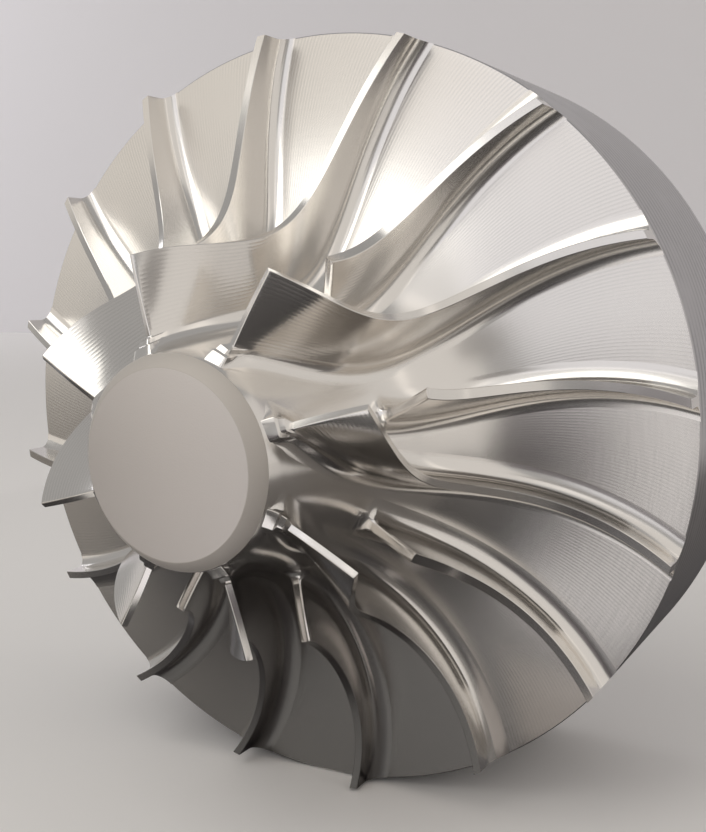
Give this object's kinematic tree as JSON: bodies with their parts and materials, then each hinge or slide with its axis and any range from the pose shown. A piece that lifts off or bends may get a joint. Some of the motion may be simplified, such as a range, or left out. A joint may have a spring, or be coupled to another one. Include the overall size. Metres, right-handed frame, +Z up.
{
  "type": "compressor impeller",
  "caption": "Centrifugal compressor impeller with main and splitter blades on a flared hub, a flat-faced nose and a plain turned base behind the rim, lying on its side.",
  "frame": {"origin": "centre of the base's flat back face, on the impeller's axis", "axes": "+Y along the axis, out of the back face; the nose points to -Y; +Z up as it lies on its side"},
  "size_m": [0.1, 0.0671, 0.1],
  "materials": {
    "milled_aluminium": "bare, finely milled, near to mirror bright",
    "faced_aluminium": "bare, matt, faced flat",
    "turned_aluminium": "bare, with fine turned grooves"
  },
  "bodies": {
    "root": {"hub": "milled_aluminium", "nose": "faced_aluminium", "base": "turned_aluminium", "main_blade_1": "milled_aluminium", "main_blade_2": "milled_aluminium", "main_blade_3": "milled_aluminium", "main_blade_4": "milled_aluminium", "main_blade_5": "milled_aluminium", "main_blade_6": "milled_aluminium", "main_blade_7": "milled_aluminium", "main_blade_8": "milled_aluminium", "splitter_blade_1": "milled_aluminium", "splitter_blade_2": "milled_aluminium", "splitter_blade_3": "milled_aluminium", "splitter_blade_4": "milled_aluminium", "splitter_blade_5": "milled_aluminium", "splitter_blade_6": "milled_aluminium", "splitter_blade_7": "milled_aluminium", "splitter_blade_8": "milled_aluminium"}
  },
  "joints": []
}
